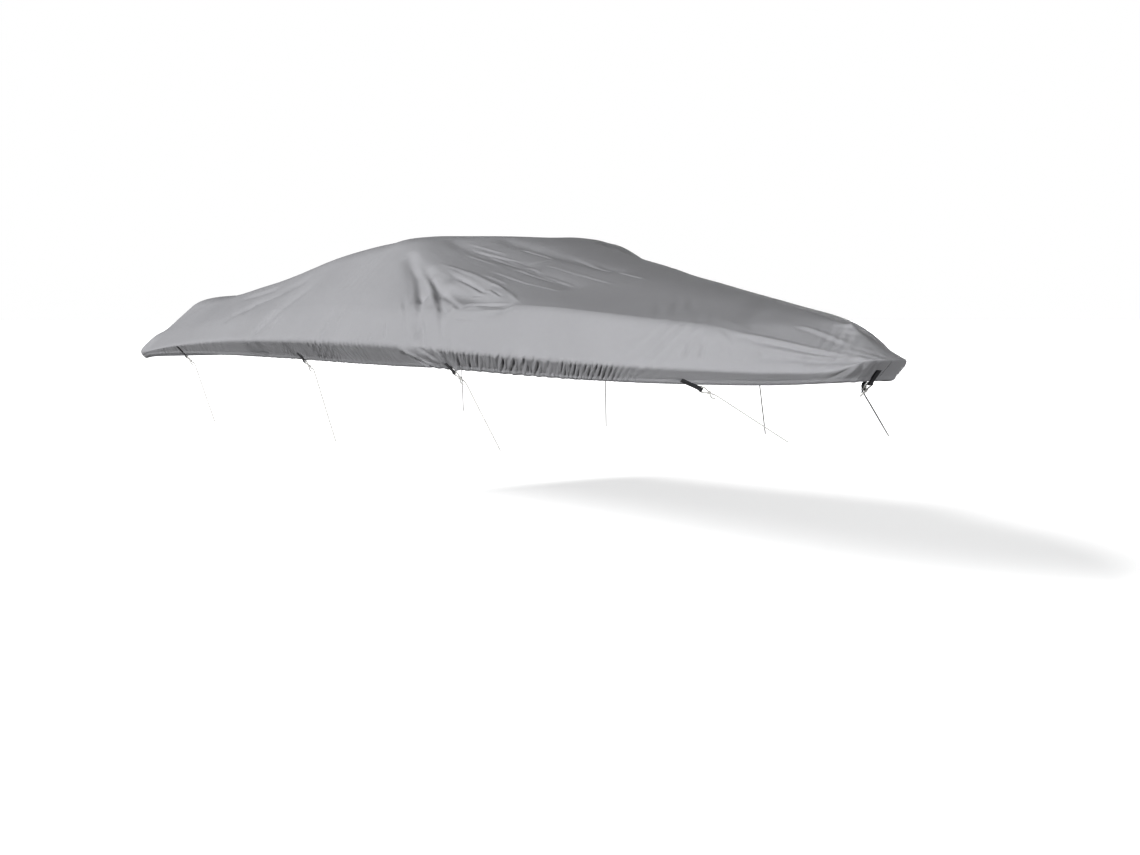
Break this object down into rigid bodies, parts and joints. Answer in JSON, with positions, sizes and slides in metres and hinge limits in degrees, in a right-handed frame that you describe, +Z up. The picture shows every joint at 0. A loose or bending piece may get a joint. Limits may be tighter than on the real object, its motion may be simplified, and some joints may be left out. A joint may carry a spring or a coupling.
{
  "type": "boat cover",
  "caption": "Fitted fabric cover for a trailered motor boat, draped over the bow, screen and stern, hollow below, with a gathered hem, webbing loops and tie cords.",
  "frame": {"origin": "on the cover's middle line, at the underside of the crest where it rests on the boat's windscreen", "axes": "+X towards the bow along the boat, +Y to port, +Z up"},
  "size_m": [6.6689, 2.4648, 1.2377],
  "materials": {
    "cloth_grey": "matt coated polyester",
    "webbing_black": "woven webbing",
    "cord_white": "twisted cord"
  },
  "bodies": {
    "root": {"top_panel": "cloth_grey", "side_panel_starboard": "cloth_grey", "side_panel_port": "cloth_grey", "webbing_loop_starboard_1": "webbing_black", "webbing_loop_starboard_2": "webbing_black", "webbing_loop_starboard_3": "webbing_black", "webbing_loop_starboard_4": "webbing_black", "webbing_loop_port_1": "webbing_black", "webbing_loop_port_2": "webbing_black", "webbing_loop_port_3": "webbing_black", "webbing_loop_port_4": "webbing_black", "webbing_loop_bow": "webbing_black", "knot_starboard_1": "cord_white", "knot_starboard_2": "cord_white", "knot_starboard_3": "cord_white", "knot_starboard_4": "cord_white", "knot_port_1": "cord_white", "knot_port_2": "cord_white", "knot_port_3": "cord_white", "knot_port_4": "cord_white", "knot_bow": "cord_white", "tie_cord_starboard_1": "cord_white", "tie_cord_starboard_2": "cord_white", "tie_cord_starboard_3": "cord_white", "tie_cord_starboard_4": "cord_white", "tie_cord_port_1": "cord_white", "tie_cord_port_2": "cord_white", "tie_cord_port_3": "cord_white", "tie_cord_port_4": "cord_white"}
  },
  "joints": []
}
